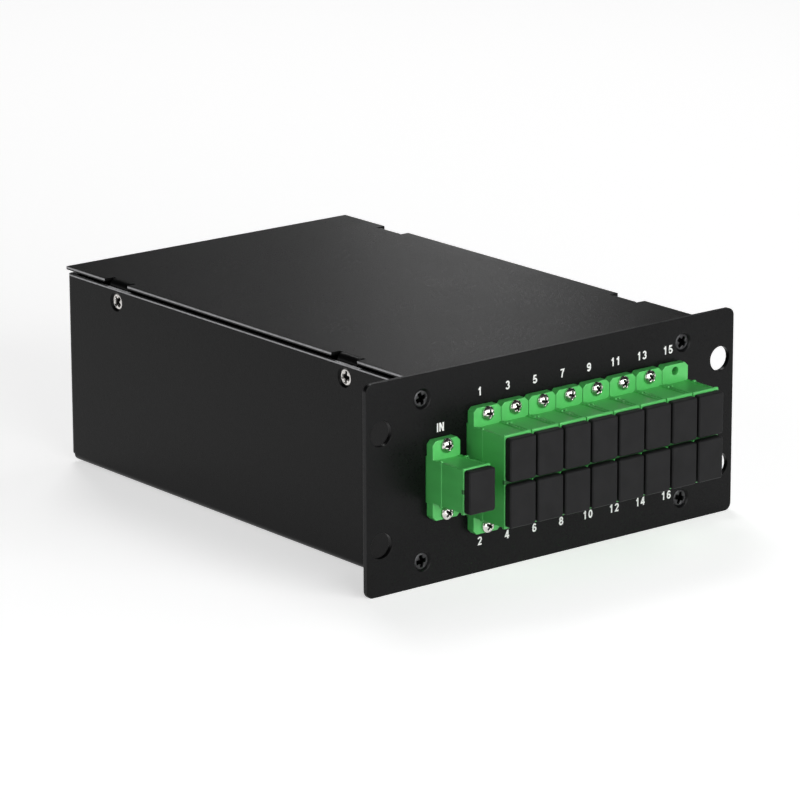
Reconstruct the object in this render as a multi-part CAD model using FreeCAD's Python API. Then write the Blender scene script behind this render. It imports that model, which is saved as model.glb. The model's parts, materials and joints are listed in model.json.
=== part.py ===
import FreeCAD, Part
import math
import os

# A 1 x 16 optical splitter cassette: a faceplate with one simplex and eight duplex fibre
# adapters, in front of a folded sheet case that holds the splitter and its fibres.
#
# Frame: origin at the centre of the four fixing holes, on the rear face of the faceplate.
# +X is to the right seen from the front, +Y goes to the rear, +Z is up.  Sizes are in mm.

V = FreeCAD.Vector
X_AXIS = V(1, 0, 0)
Y_AXIS = V(0, 1, 0)
Z_AXIS = V(0, 0, 1)

# ---------------------------------------------------------------- driving dimensions

# Faceplate
PANEL_W = 130.0
PANEL_H = 58.6
PANEL_T = 1.5
PANEL_CORNER_R = 2.2
FIXING_HOLE_D = 7.0
FIXING_EDGE_X = 5.05  # middle of a fixing hole from the faceplate's end
FIXING_PITCH_Z = 30.7

# Folded case
CASE_W = 102.0
CASE_L = 155.7  # behind the faceplate
CASE_FOOT = 0.7  # underside of the tray above the faceplate's lower edge
COVER_DROP = 0.15  # top of the cover below the faceplate's upper edge
SHEET_T = 1.0
BEND_R = 1.0  # inside radius of every fold
EDGE_GAP = 0.3  # cover and walls to the faceplate, and rear wall to the folds beside it
COVER_GAP = 1.05  # open slit between the cover and the upper edges of the walls
REAR_RETURN_W = 14.0
EAR_W = 9.2
EAR_H = 8.4
EAR_RELIEF = 0.8
COLLAR_D = 4.4  # drawn collar round a tapped hole
COLLAR_L = 1.2

# Cover lugs, which the side screws hold
LUG_W = 8.6
LUG_SLOT = 1.3  # relief beside each lug
LUG_CLEAR = 0.1  # lug to the inside of the wall
LUG_TAIL = 4.4  # lug below the screw
LUG_CORNER_R = 1.5
LUG_SCREW_DROP = 5.75  # screw axis below the top of the cover
LUG_FRONT_Y = 25.65
LUG_REAR_Y = 131.0

# Countersunk screws of the case and the faceplate
CSK_D = 5.6  # countersink at the sheet's surface
CSK_HEAD_D = 4.6
CSK_THREAD_D = 2.9
CSK_LENGTH = 5.5
CSK_CROSS = 2.7
PANEL_SCREW_EDGE_X = 4.9  # from the outside of the case
PANEL_SCREW_EDGE_Z = 6.9  # from the faceplate's edge
SCREW_CLEAR = 0.05  # radial, in a tapped hole, and axial, in a countersink

# Pan head screws of the adapters
PAN_HEAD_D = 3.9
PAN_HEAD_H = 1.45
PAN_RIM_H = 0.6
PAN_THREAD_D = 2.0
PAN_LENGTH = 6.5
PAN_CROSS = 2.3
CROSS_SLOT = 0.6
CROSS_DEPTH = 0.9
CUT_PAST = 1.0  # how far a cut runs on past the face that it opens
FLANGE_HOLE_D = 2.3

# Adapters, with their long axis upright
ADAPTER_W = 9.4
COLUMN_GAP = 0.17
COLUMNS = 8
COLUMN_GROUP_X = 7.5  # middle of the duplex adapters
IN_PITCH = 14.0  # single adapter to the first duplex one
SINGLE_H = 12.7
DUPLEX_H = 25.9
PORT_PITCH = 12.7
WINDOW_CLEAR = 0.25
FLANGE_T = 2.6
SINGLE_FLANGE_H = 22.0
DUPLEX_FLANGE_H = 35.1
FLANGE_CHAMFER = 1.1
SINGLE_SCREW_PITCH = 18.5
DUPLEX_SCREW_PITCH = 31.2
FRONT_BODY_L = 12.6
REAR_BODY_L = 12.6
SHOULDER_L = 3.5
SHOULDER_STEP = 0.12
SADDLE_D = 0.4  # top and bottom faces lie this far below the front lip
LIP_T = 1.0
LIP_ROUND = 0.9  # share of the lip's height that its round takes
SADDLE_RIM = 0.8
SADDLE_FLOOR_D = 0.3  # sunken floor between the rims
NUB_L = 0.9
NUB_H = 0.4

# Inside an adapter
PORT_W = 7.4
PORT_H = 9.0
INSERT_T = 2.0  # plate of the insert that holds the sleeve and the hooks
KEYWAY_W = 3.5
KEYWAY_L = 6.5
HOLDER_D = 4.8
HOLDER_BORE_D = 3.4
HOLDER_LIP_D = 2.8
HOLDER_LIP_T = 0.4
HOOK_W = 3.0
HOOK_T = 0.7
HOOK_GAP = 0.95  # between the sleeve holder and a hook's arm
HOOK_BARB = 0.5
HOOK_BARB_L = 1.2
SLEEVE_D = 3.2
SLEEVE_BORE_D = 2.5
SLEEVE_L = 11.4
SLEEVE_SLIT = 0.6
SLEEVE_CLEAR = 0.1  # to the lips of its holder

# Dust caps
CAP_W = 8.9
CAP_H = 11.9
CAP_T = 2.2
CAP_GAP = 0.2  # plate to the front of the adapter
CAP_CORNER_R = 0.8
CAP_CHAMFER = 0.35
CAP_SKIRT_L = 6.5
CAP_SKIRT_T = 0.9
CAP_CLEAR = 0.15  # skirt to the port's walls

# Plugs behind the faceplate
PLUG_CLEAR = 0.1  # to the port's walls
PLUG_GAP = 0.5  # to the insert's plate
PLUG_TAIL_L = 11.0  # housing that stands out of the adapter
PLUG_SLOT_W = 3.8
PLUG_BORE_D = 5.4
PLUG_NOSE_DEPTH = 5.5
KEY_CLEAR = 0.15
FERRULE_CLEAR = 0.01
FERRULE_GAP = 0.05  # ferrule tip to the middle of the sleeve
FERRULE_ROOT = 1.0  # ferrule held in the housing
BOOT_D = 4.6
BOOT_TIP_D = 2.0
BOOT_COLLAR_L = 2.5
BOOT_L = 17.0

# Splitter and its clips
MODULE_W = 12.0
MODULE_H = 4.0
MODULE_L = 60.0
MODULE_PAST_TURN = 3.0  # rear end behind the middle of the large turn
MODULE_EDGE_R = 0.5
OUTPUT_GLAND_W = 10.0
INPUT_GLAND_W = 4.0
GLAND_H = 3.4
GLAND_L = 5.0
CLIP_L = 7.0
CLIP_ARM_T = 1.2
CLIP_CLEAR = 0.1
CLIP_HOOK = 1.0
CLIP_HOOK_T = 0.8
CLIP_INSET = 12.0  # middle of each clip from the module's end
CLIP_BASE_T = 1.0  # least thickness under the module

# Fibres
FIBRE_D = 0.9
LANE_PITCH = 1.05
LOOM_WALL = 0.4  # woven sleeve round the sixteen output fibres
LOOM_CORNER_R = 1.3
LOOM_FLOOR_GAP = 0.2
LOOM_SIDE_GAP = 4.4  # large turn to the tray's wall
LOOM_REAR_GAP = 1.1  # large turn to the tray's rear wall
LOOM_START_L = 5.0
LANE_RUN_L = 20.0
TAIL_RUN_L = 19.0
LANE_MITRE = 0.7
LAYER_MITRE = 0.55
BEND_SHARE = 0.45  # of the shorter run beside it, that a fibre's bend may take
INPUT_TURN_R = 15.0
INPUT_EXIT_L = 3.0
INPUT_BACK_RUN_L = 22.0

# ---------------------------------------------------------------- derived places

SIDE_X = CASE_W / 2
FIXING_PITCH_X = PANEL_W - 2 * FIXING_EDGE_X
FOLD_R = BEND_R + SHEET_T
FLOOR_BOTTOM = -PANEL_H / 2 + CASE_FOOT
FLOOR_TOP = FLOOR_BOTTOM + SHEET_T
COVER_TOP = PANEL_H / 2 - COVER_DROP
COVER_BOTTOM = COVER_TOP - SHEET_T
WALL_TOP = COVER_BOTTOM - COVER_GAP
REAR_WALL_BACK = CASE_L - SHEET_T
SIDE_SCREW_Z = COVER_TOP - LUG_SCREW_DROP
LUG_X = SIDE_X - SHEET_T - LUG_CLEAR
PANEL_SCREW_X = SIDE_X - PANEL_SCREW_EDGE_X
PANEL_SCREW_Z = PANEL_H / 2 - PANEL_SCREW_EDGE_Z

FLANGE_BACK = -PANEL_T
FLANGE_FRONT = FLANGE_BACK - FLANGE_T
BODY_FRONT = FLANGE_FRONT - FRONT_BODY_L
BODY_REAR = FLANGE_BACK + REAR_BODY_L
MIDDLE_Y = (FLANGE_FRONT + FLANGE_BACK) / 2
INSERT_FRONT = MIDDLE_Y - INSERT_T / 2
INSERT_REAR = MIDDLE_Y + INSERT_T / 2
HOLDER_HALF = SLEEVE_L / 2 + SLEEVE_CLEAR + HOLDER_LIP_T
COLUMN_PITCH = ADAPTER_W + COLUMN_GAP
FIRST_COLUMN_X = COLUMN_GROUP_X - COLUMN_PITCH * (COLUMNS - 1) / 2
IN_X = FIRST_COLUMN_X - IN_PITCH
CAP_BACK = BODY_FRONT - CAP_GAP
CAP_FRONT = CAP_BACK - CAP_T

PLUG_FRONT = INSERT_REAR + PLUG_GAP
PLUG_REAR = BODY_REAR + PLUG_TAIL_L
BOOT_END = PLUG_REAR + BOOT_L

LOOM_W = COLUMNS * LANE_PITCH + 2 * LOOM_WALL
LOOM_H = 2 * LANE_PITCH + 2 * LOOM_WALL
LOOM_Z = FLOOR_TOP + LOOM_FLOOR_GAP + LOOM_H / 2
LOOM_BIG_R = SIDE_X - SHEET_T - LOOM_SIDE_GAP - LOOM_W / 2
LOOM_SMALL_R = LOOM_BIG_R / 2
LOOM_BIG_Y = REAR_WALL_BACK - SHEET_T - LOOM_REAR_GAP - LOOM_W / 2 - LOOM_BIG_R
MODULE_Z = max(LOOM_Z, FLOOR_TOP + CLIP_BASE_T + MODULE_H / 2)
MODULE_REAR_Y = LOOM_BIG_Y + MODULE_PAST_TURN
MODULE_FRONT_Y = MODULE_REAR_Y - MODULE_L
LOOM_START_Y = LOOM_BIG_Y - LOOM_START_L


def column_x(index):
    """X of the duplex adapter with this index, counted from the left."""
    return FIRST_COLUMN_X + index * COLUMN_PITCH


def column_name(index):
    """The two port numbers of a duplex adapter, as in 01_02."""
    return "%02d_%02d" % (2 * index + 1, 2 * index + 2)


# ---------------------------------------------------------------- shapes to build with


def block(x, y, z):
    """A box from its (low, high) pair along each axis."""
    return Part.makeBox(x[1] - x[0], y[1] - y[0], z[1] - z[0], V(x[0], y[0], z[0]))


def around(centre, size):
    """The (low, high) pair of this size round a centre."""
    return centre - size / 2, centre + size / 2


def rod_y(diameter, x, z, y_low, y_high):
    """A cylinder along Y."""
    return Part.makeCylinder(diameter / 2, y_high - y_low, V(x, y_low, z), Y_AXIS)


def fused(shapes):
    """One shape from many, with the seams between coplanar faces removed."""
    return shapes[0].multiFuse(shapes[1:]).removeSplitter()


def mirrored(shape):
    """The same shape on the other side of the middle plane."""
    return shape.mirror(V(0, 0, 0), X_AXIS)


def edges_along(shape, axis, inside):
    """Straight edges parallel to an axis whose middle passes a test."""
    chosen = []
    for edge in shape.Edges:
        if isinstance(edge.Curve, Part.Line):
            if abs(edge.Curve.Direction.dot(axis)) > 0.999 and inside(edge.CenterOfMass):
                chosen.append(edge)
    return chosen


def plate_y(width, height, radius, x, z, y_low, y_high):
    """A plate with round corners, square to Y, round the point (x, z)."""
    plate = block(around(x, width), (y_low, y_high), around(z, height))
    return plate.makeFillet(radius, edges_along(plate, Y_AXIS, lambda point: True))


def folded_sheet(corner, along_u, along_v, leg_u, leg_v, length):
    """A sheet with one fold, from its outer corner along two legs, then carried along u x v."""
    u, v = along_u, along_v

    def at(a, b):
        return corner + u * a + v * b

    diagonal = math.sqrt(0.5)
    outer_mid = FOLD_R * (1 - diagonal)
    inner_mid = FOLD_R - BEND_R * diagonal
    edges = [
        Part.LineSegment(at(leg_u, 0), at(FOLD_R, 0)),
        Part.Arc(at(FOLD_R, 0), at(outer_mid, outer_mid), at(0, FOLD_R)),
        Part.LineSegment(at(0, FOLD_R), at(0, leg_v)),
        Part.LineSegment(at(0, leg_v), at(SHEET_T, leg_v)),
        Part.LineSegment(at(SHEET_T, leg_v), at(SHEET_T, FOLD_R)),
        Part.Arc(at(SHEET_T, FOLD_R), at(inner_mid, inner_mid), at(FOLD_R, SHEET_T)),
        Part.LineSegment(at(FOLD_R, SHEET_T), at(leg_u, SHEET_T)),
        Part.LineSegment(at(leg_u, SHEET_T), at(leg_u, 0)),
    ]
    face = Part.Face(Part.Wire([edge.toShape() for edge in edges]))
    return face.extrude(u.cross(v) * length)


def facing(shape, point, outward):
    """Turns a shape built along +Z to face outward, and moves it to a point."""
    placed = shape.copy()
    placed.Placement = FreeCAD.Placement(point, FreeCAD.Rotation(Z_AXIS, outward))
    return placed


# ---------------------------------------------------------------- screws


def cross_recess(size, top):
    """The cross that the screwdriver enters, open at a height along +Z."""
    long, short, low = size / 2, CROSS_SLOT / 2, top - CROSS_DEPTH
    one = block((-long, long), (-short, short), (low, top + CUT_PAST))
    other = block((-short, short), (-long, long), (low, top + CUT_PAST))
    return one.fuse(other)


def countersunk_screw():
    """A countersunk screw, its head's flat face at the origin and facing +Z."""
    cone_h = (CSK_HEAD_D - CSK_THREAD_D) / 2
    head = Part.makeCone(CSK_THREAD_D / 2, CSK_HEAD_D / 2, cone_h, V(0, 0, -cone_h))
    shank = Part.makeCylinder(CSK_THREAD_D / 2, CSK_LENGTH - cone_h, V(0, 0, -CSK_LENGTH))
    return head.fuse(shank).cut(cross_recess(CSK_CROSS, 0))


def countersink():
    """What a countersunk screw's seat takes out of the sheets, from the origin down -Z."""
    seat_d = CSK_THREAD_D + 2 * SCREW_CLEAR
    cone_h = (CSK_D - seat_d) / 2
    cone = Part.makeCone(seat_d / 2, CSK_D / 2, cone_h, V(0, 0, -cone_h))
    bore = Part.makeCylinder(seat_d / 2, CSK_LENGTH + SHEET_T, V(0, 0, -CSK_LENGTH - SHEET_T))
    return cone.fuse(bore)


def countersunk_depth():
    """How far the head's flat face lies below the sheet's surface."""
    return (CSK_D - CSK_HEAD_D) / 2 - SCREW_CLEAR


def pan_screw():
    """A pan head screw, its head's underside at the origin and facing +Z."""
    radius = PAN_HEAD_D / 2
    crown = PAN_HEAD_H - PAN_RIM_H
    ball_r = (radius ** 2 + crown ** 2) / (2 * crown)
    rim = Part.makeCylinder(radius, PAN_HEAD_H)
    ball = Part.makeSphere(ball_r, V(0, 0, PAN_HEAD_H - ball_r))
    shank = Part.makeCylinder(PAN_THREAD_D / 2, PAN_LENGTH, V(0, 0, -PAN_LENGTH))
    return rim.common(ball).fuse(shank).cut(cross_recess(PAN_CROSS, PAN_HEAD_H))


def side_screw_points():
    """The four side screws: a point on the wall's outside, and the way it faces."""
    return [
        (V(side * SIDE_X, y, SIDE_SCREW_Z), X_AXIS * side)
        for side in (-1, 1)
        for y in (LUG_FRONT_Y, LUG_REAR_Y)
    ]


def panel_screw_points():
    """The four screws that hold the faceplate to the tray's ears."""
    return [
        (V(side * PANEL_SCREW_X, -PANEL_T, up * PANEL_SCREW_Z), -Y_AXIS)
        for side in (-1, 1)
        for up in (-1, 1)
    ]


def countersunk_screws(places):
    """The countersunk screws at these places, as one compound."""
    screws = []
    for point, outward in places:
        screws.append(facing(countersunk_screw(), point - outward * countersunk_depth(), outward))
    return Part.makeCompound(screws)


def adapter_hole_points():
    """X and Z of the two screw holes of every adapter, the single one first."""
    holes = [(IN_X, up * SINGLE_SCREW_PITCH / 2) for up in (1, -1)]
    for index in range(COLUMNS):
        holes += [(column_x(index), up * DUPLEX_SCREW_PITCH / 2) for up in (1, -1)]
    return holes


def adapter_screws():
    """The adapters' screws.  The upper screw of the last adapter is missing."""
    missing = (column_x(COLUMNS - 1), DUPLEX_SCREW_PITCH / 2)
    places = [hole for hole in adapter_hole_points() if hole != missing]
    return Part.makeCompound([facing(pan_screw(), V(x, FLANGE_FRONT, z), -Y_AXIS) for x, z in places])


# ---------------------------------------------------------------- sheet metal


def front_panel():
    """The faceplate with its fixing holes, adapter windows and screw holes."""
    plate = plate_y(PANEL_W, PANEL_H, PANEL_CORNER_R, 0, 0, -PANEL_T, 0)
    through = (-PANEL_T, 0)
    group_w = COLUMN_PITCH * (COLUMNS - 1) + ADAPTER_W
    cuts = [
        block(
            around(IN_X, ADAPTER_W + 2 * WINDOW_CLEAR), through, around(0, SINGLE_H + 2 * WINDOW_CLEAR)
        ),
        block(
            around(COLUMN_GROUP_X, group_w + 2 * WINDOW_CLEAR),
            through,
            around(0, DUPLEX_H + 2 * WINDOW_CLEAR),
        ),
    ]
    for side in (-1, 1):
        for up in (-1, 1):
            x, z = side * FIXING_PITCH_X / 2, up * FIXING_PITCH_Z / 2
            cuts.append(rod_y(FIXING_HOLE_D, x, z, -PANEL_T, 0))
    for x, z in adapter_hole_points():
        cuts.append(rod_y(PAN_THREAD_D + 2 * SCREW_CLEAR, x, z, -PANEL_T, 0))
    for point, outward in panel_screw_points():
        cuts.append(facing(countersink(), point, outward))
    return plate.cut(cuts)


def ear(up):
    """A front ear of the tray's left wall, with a drawn and tapped collar."""
    z_low = up * PANEL_SCREW_Z - EAR_H / 2
    sheet = folded_sheet(V(-SIDE_X, 0, z_low), X_AXIS, Y_AXIS, EAR_W, FOLD_R + SHEET_T, EAR_H)
    collar = rod_y(COLLAR_D, -PANEL_SCREW_X, up * PANEL_SCREW_Z, 0, SHEET_T + COLLAR_L)
    return sheet.fuse(collar)


def tray_half():
    """The left half of the tray: floor, wall, rear return and front ears."""
    straight = CASE_L - FOLD_R
    wall_h = WALL_TOP - FLOOR_BOTTOM
    channel = folded_sheet(
        V(-SIDE_X, straight, FLOOR_BOTTOM), X_AXIS, Z_AXIS, SIDE_X, wall_h, straight - EDGE_GAP
    )
    corner = V(-SIDE_X, CASE_L, WALL_TOP)
    rear_return = folded_sheet(
        corner, X_AXIS, -Y_AXIS, REAR_RETURN_W, FOLD_R + SHEET_T, wall_h - FOLD_R
    )
    front_cuts = []
    for up in (-1, 1):
        z_low, z_high = around(up * PANEL_SCREW_Z, EAR_H)
        z_pair = (z_low, z_high + EAR_RELIEF) if up < 0 else (z_low - EAR_RELIEF, z_high + EAR_RELIEF)
        front_cuts.append(block((-SIDE_X, -SIDE_X + SHEET_T), (0, FOLD_R), z_pair))
    return fused([channel.cut(front_cuts), rear_return, ear(-1), ear(1)])


def base_tray():
    """The folded tray: floor, two walls, rear wall, rear returns and four front ears."""
    half = tray_half()
    rear_half_w = SIDE_X - FOLD_R - EDGE_GAP
    floor_back = CASE_L - FOLD_R
    rear_wall = folded_sheet(
        V(-rear_half_w, REAR_WALL_BACK, FLOOR_BOTTOM),
        Z_AXIS,
        -Y_AXIS,
        WALL_TOP - FLOOR_BOTTOM,
        REAR_WALL_BACK - floor_back + FOLD_R + SHEET_T,
        2 * rear_half_w,
    )
    beyond_fold = block(
        (-SIDE_X + FOLD_R, SIDE_X - FOLD_R),
        (REAR_WALL_BACK - FOLD_R, CASE_L),
        (FLOOR_BOTTOM, FLOOR_TOP),
    )
    tray = fused([half.cut(beyond_fold), mirrored(half).cut(beyond_fold), rear_wall])
    for point, outward in side_screw_points() + panel_screw_points():
        tray = tray.cut(facing(countersink(), point, outward))
    return tray


def cover_lug(y):
    """A lug of the cover's left edge, folded down inside the tray's wall."""
    drop = COVER_TOP - SIDE_SCREW_Z + LUG_TAIL
    lug = folded_sheet(
        V(-LUG_X, y - LUG_W / 2, COVER_TOP), X_AXIS, -Z_AXIS, FOLD_R + SHEET_T, drop, LUG_W
    )
    tips = edges_along(lug, X_AXIS, lambda point: point.z < COVER_TOP - drop + SHEET_T)
    return lug.makeFillet(LUG_CORNER_R, tips)


def top_cover():
    """The flat cover sheet with its four notches and the lugs that fold down in them."""
    sheet = block((-SIDE_X, SIDE_X), (EDGE_GAP, CASE_L), (COVER_BOTTOM, COVER_TOP))
    notch_x = (-SIDE_X, -LUG_X + FOLD_R)
    notches = []
    lugs = []
    for y in (LUG_FRONT_Y, LUG_REAR_Y):
        notch = block(notch_x, around(y, LUG_W + 2 * LUG_SLOT), (COVER_BOTTOM, COVER_TOP))
        notches += [notch, mirrored(notch)]
        lugs += [cover_lug(y), mirrored(cover_lug(y))]
    cover = fused([sheet.cut(notches)] + lugs)
    for point, outward in side_screw_points():
        cover = cover.cut(facing(countersink(), point, outward))
    return cover


# ---------------------------------------------------------------- adapters


def flange(x, height, screw_pitch):
    """An adapter's flange plate with cut corners and two screw holes."""
    plate = block(around(x, ADAPTER_W), (FLANGE_FRONT, FLANGE_BACK), around(0, height))
    plate = plate.makeChamfer(FLANGE_CHAMFER, edges_along(plate, Y_AXIS, lambda point: True))
    holes = [
        rod_y(FLANGE_HOLE_D, x, up * screw_pitch / 2, FLANGE_FRONT, FLANGE_BACK) for up in (-1, 1)
    ]
    return plate.cut(holes)


def front_body(x, height):
    """The part of the housing in front of the flange: shoulder, front lip and saddle faces."""
    shoulder_y = FLANGE_FRONT - SHOULDER_L
    half = height / 2
    saddle_z = half - SADDLE_D
    narrow = ADAPTER_W - 2 * SHOULDER_STEP
    solids = [
        block(around(x, narrow), (BODY_FRONT, FLANGE_FRONT), around(0, 2 * saddle_z)),
        block(around(x, ADAPTER_W), (shoulder_y, FLANGE_FRONT), around(0, 2 * saddle_z)),
    ]
    lip = block(around(x, narrow), (BODY_FRONT, BODY_FRONT + LIP_T), around(0, height))
    lip_edges = edges_along(lip, X_AXIS, lambda point: True)
    solids.append(lip.makeFillet(SADDLE_D * LIP_ROUND, lip_edges))
    for side in (-1, 1):
        edge_x = x + side * ADAPTER_W / 2
        rim = sorted((edge_x, edge_x - side * SADDLE_RIM))
        nub_z = saddle_z + NUB_H
        solids.append(block(rim, (shoulder_y, shoulder_y + NUB_L), (-nub_z, nub_z)))
    floor_z = saddle_z - SADDLE_FLOOR_D
    floor_y = (BODY_FRONT + LIP_T, FLANGE_FRONT)
    floor_x = around(x, narrow - 2 * SADDLE_RIM)
    sunk = [block(floor_x, floor_y, (floor_z, half)), block(floor_x, floor_y, (-half, -floor_z))]
    return fused(solids).cut(sunk)


def port_cuts(x, z):
    """The cavity of one port, through from front to rear, and its two keyways."""
    key_x = (x, x + ADAPTER_W / 2)
    key_z = around(z, KEYWAY_W)
    return [
        block(around(x, PORT_W), (BODY_FRONT, BODY_REAR), around(z, PORT_H)),
        block(key_x, (BODY_FRONT, BODY_FRONT + KEYWAY_L), key_z),
        block(key_x, (BODY_REAR - KEYWAY_L, BODY_REAR), key_z),
    ]


def adapter(x, port_heights, body_h, flange_h, screw_pitch):
    """A moulded adapter housing: flange, front and rear bodies, and its ports."""
    rear = block(around(x, ADAPTER_W), (FLANGE_BACK, BODY_REAR), around(0, body_h))
    core = block(around(x, ADAPTER_W), (FLANGE_FRONT, FLANGE_BACK), around(0, body_h))
    housing = fused([flange(x, flange_h, screw_pitch), front_body(x, body_h), core, rear])
    for z in port_heights:
        housing = housing.cut(port_cuts(x, z))
    return housing


def hook(x, z, away, toward_rear):
    """A latch hook beside the sleeve holder: an arm off the insert's plate with an inward barb."""
    root = INSERT_REAR if toward_rear else INSERT_FRONT
    step = 1 if toward_rear else -1
    length = HOLDER_HALF - INSERT_T / 2
    inner = HOLDER_D / 2 + HOOK_GAP
    outline = [
        (0, inner),
        (length - HOOK_BARB_L, inner),
        (length - HOOK_BARB_L, inner - HOOK_BARB),
        (length, inner),
        (length, inner + HOOK_T),
        (0, inner + HOOK_T),
    ]
    points = [V(x - HOOK_W / 2, root + step * s, z + away * t) for s, t in outline]
    return Part.Face(Part.makePolygon(points + points[:1])).extrude(X_AXIS * HOOK_W)


def sleeve_bore(x, z):
    """The sleeve's place in its holder, with a lip left at each end."""
    inner = HOLDER_HALF - HOLDER_LIP_T
    wide = rod_y(HOLDER_BORE_D, x, z, MIDDLE_Y - inner, MIDDLE_Y + inner)
    return wide.fuse(rod_y(HOLDER_LIP_D, x, z, MIDDLE_Y - HOLDER_HALF, MIDDLE_Y + HOLDER_HALF))


def port_insert(x, z):
    """The insert in the middle of a port: a plate with the sleeve's holder and four hooks."""
    solids = [
        block(around(x, PORT_W), (INSERT_FRONT, INSERT_REAR), around(z, PORT_H)),
        rod_y(HOLDER_D, x, z, MIDDLE_Y - HOLDER_HALF, MIDDLE_Y + HOLDER_HALF),
    ]
    for toward_rear in (False, True):
        solids += [hook(x, z, away, toward_rear) for away in (-1, 1)]
    return fused(solids).cut(sleeve_bore(x, z))


def alignment_sleeve(x, z):
    """A ceramic sleeve, slit along its length."""
    half = SLEEVE_L / 2
    tube = rod_y(SLEEVE_D, x, z, MIDDLE_Y - half, MIDDLE_Y + half)
    bore = rod_y(SLEEVE_BORE_D, x, z, MIDDLE_Y - half, MIDDLE_Y + half)
    slit = block((x, x + SLEEVE_D), (MIDDLE_Y - half, MIDDLE_Y + half), around(z, SLEEVE_SLIT))
    return tube.cut([bore, slit])


def dust_cap(x, z):
    """A dust cap: a face plate and a hollow skirt that fills the mouth of a port."""
    plate = plate_y(CAP_W, CAP_H, CAP_CORNER_R, x, z, CAP_FRONT, CAP_BACK)
    rim = [edge for edge in plate.Edges if edge.BoundBox.YMax < CAP_FRONT + CAP_CHAMFER / 2]
    plate = plate.makeChamfer(CAP_CHAMFER, rim)
    skirt_w = PORT_W - 2 * CAP_CLEAR
    skirt_h = PORT_H - 2 * CAP_CLEAR
    skirt_y = (CAP_BACK, BODY_FRONT + CAP_SKIRT_L)
    skirt = block(around(x, skirt_w), skirt_y, around(z, skirt_h))
    hollow = block(around(x, skirt_w - 2 * CAP_SKIRT_T), skirt_y, around(z, skirt_h - 2 * CAP_SKIRT_T))
    return fused([plate, skirt.cut(hollow)])


# ---------------------------------------------------------------- plugs, splitter, fibres


def plug(x, z):
    """A fibre plug pushed in from behind: housing with its key, and the ferrule in the sleeve."""
    housing = block(
        around(x, PORT_W - 2 * PLUG_CLEAR), (PLUG_FRONT, PLUG_REAR), around(z, PORT_H - 2 * PLUG_CLEAR)
    )
    key_w = KEYWAY_W - 2 * KEY_CLEAR
    key_y = (BODY_REAR - KEYWAY_L + KEY_CLEAR, PLUG_REAR - PLUG_TAIL_L / 2)
    key = block((x, x + ADAPTER_W / 2 - KEY_CLEAR), key_y, around(z, key_w))
    nose_floor = PLUG_FRONT + PLUG_NOSE_DEPTH
    slot = block(around(x, PLUG_SLOT_W), (PLUG_FRONT, nose_floor), around(z, PORT_H))
    bore = rod_y(PLUG_BORE_D, x, z, PLUG_FRONT, nose_floor)
    ferrule_d = SLEEVE_BORE_D - 2 * FERRULE_CLEAR
    ferrule = rod_y(ferrule_d, x, z, MIDDLE_Y + FERRULE_GAP, nose_floor + FERRULE_ROOT)
    return housing.fuse(key).cut([slot, bore]).fuse(ferrule)


def plug_boot(x, z):
    """The rubber boot behind a plug, tapering to the fibre."""
    collar = rod_y(BOOT_D, x, z, PLUG_REAR, PLUG_REAR + BOOT_COLLAR_L)
    taper_l = BOOT_L - BOOT_COLLAR_L
    start = V(x, PLUG_REAR + BOOT_COLLAR_L, z)
    taper = Part.makeCone(BOOT_D / 2, BOOT_TIP_D / 2, taper_l, start, Y_AXIS)
    return collar.fuse(taper)


def splitter_module():
    """The splitter's metal case, on the middle line of the tray."""
    case = block(around(0, MODULE_W), (MODULE_FRONT_Y, MODULE_REAR_Y), around(MODULE_Z, MODULE_H))
    return case.makeFillet(MODULE_EDGE_R, edges_along(case, Y_AXIS, lambda point: True))


def module_glands():
    """The rubber glands on the splitter's output end, in front, and input end, behind."""
    output = block(
        around(0, OUTPUT_GLAND_W), (MODULE_FRONT_Y - GLAND_L, MODULE_FRONT_Y), around(MODULE_Z, GLAND_H)
    )
    inlet = block(
        around(0, INPUT_GLAND_W), (MODULE_REAR_Y, MODULE_REAR_Y + GLAND_L), around(MODULE_Z, GLAND_H)
    )
    return Part.makeCompound([output, inlet])


def module_clip(y):
    """A snap clip on the tray's floor: base, two arms and the hooks over the splitter."""
    inside = MODULE_W / 2 + CLIP_CLEAR
    outside = inside + CLIP_ARM_T
    low, high = MODULE_Z - MODULE_H / 2, MODULE_Z + MODULE_H / 2 + CLIP_CLEAR
    span = around(y, CLIP_L)
    base = block((-outside, outside), span, (FLOOR_TOP, low))
    arm = block((-outside, -inside), span, (FLOOR_TOP, high + CLIP_HOOK_T))
    catch = block((-outside, -inside + CLIP_HOOK), span, (high, high + CLIP_HOOK_T))
    side = arm.fuse(catch)
    return fused([base, side, mirrored(side)])


def module_clips():
    """The two clips that hold the splitter."""
    return Part.makeCompound(
        [module_clip(MODULE_FRONT_Y + CLIP_INSET), module_clip(MODULE_REAR_Y - CLIP_INSET)]
    )


def loom_section(centre, across):
    """The flat section of the woven sleeve, square to its run."""
    half_w, half_h, r = LOOM_W / 2, LOOM_H / 2, LOOM_CORNER_R
    low, high = centre - across * half_w, centre + across * half_w
    corners = [low - Z_AXIS * half_h, high - Z_AXIS * half_h, high + Z_AXIS * half_h, low + Z_AXIS * half_h]
    edges = []
    for index, corner in enumerate(corners):
        before = (corners[index - 1] - corner).normalize() * r
        after = (corners[(index + 1) % 4] - corner).normalize() * r
        middle = corner + (before + after) * (1 - math.sqrt(0.5))
        edges.append(Part.Arc(corner + before, middle, corner + after).toShape())
        following = corners[(index + 1) % 4]
        edges.append(Part.LineSegment(corner + after, following - after).toShape())
    return Part.Face(Part.Wire(edges))


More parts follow.
